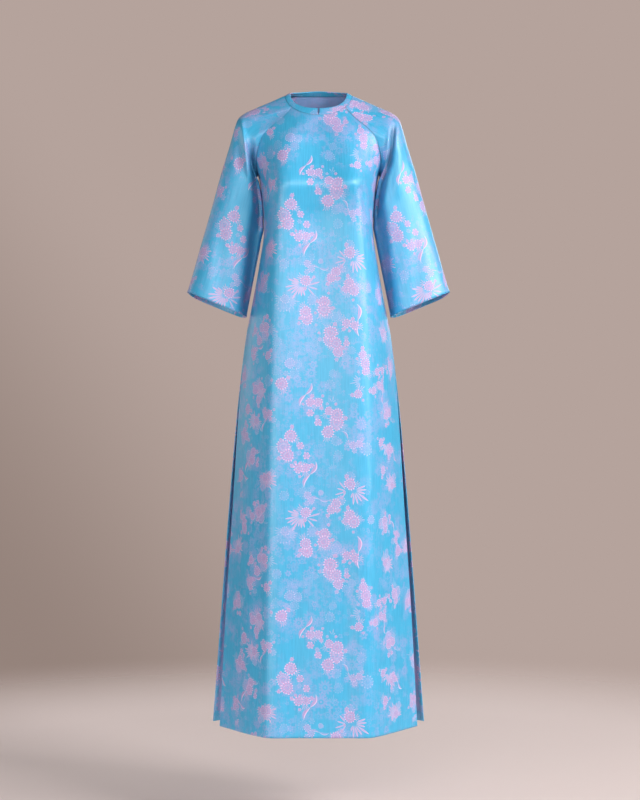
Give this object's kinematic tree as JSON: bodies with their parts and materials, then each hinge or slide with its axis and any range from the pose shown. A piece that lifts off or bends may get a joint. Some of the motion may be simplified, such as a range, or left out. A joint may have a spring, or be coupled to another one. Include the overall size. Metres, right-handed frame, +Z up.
{
  "type": "ao dai tunic",
  "caption": "Long fitted ao dai tunic in floral satin brocade, with a low band collar, raglan bell sleeves and front and back panels parted by high side slits.",
  "frame": {"origin": "middle of the neck opening, at about the height where shoulder and neck meet", "axes": "+Z up towards the neck, -Y to the front of the garment, +X to the wearer's left"},
  "size_m": [0.5664, 0.287, 1.3781],
  "materials": {
    "front_panel": "sky-blue satin brocade with pink and pale blue flowers and leaves, soft sheen",
    "back_panel": "sky-blue satin brocade with pink and pale blue flowers and leaves, soft sheen",
    "sleeve_left": "sky-blue satin brocade with pink and pale blue flowers and leaves, soft sheen",
    "sleeve_right": "sky-blue satin brocade with pink and pale blue flowers and leaves, soft sheen",
    "neck_band": "sky-blue satin brocade with pink and pale blue flowers and leaves, soft sheen"
  },
  "bodies": {
    "root": {"front_panel": "front_panel", "back_panel": "back_panel", "sleeve_left": "sleeve_left", "sleeve_right": "sleeve_right", "neck_band": "neck_band"}
  },
  "joints": []
}
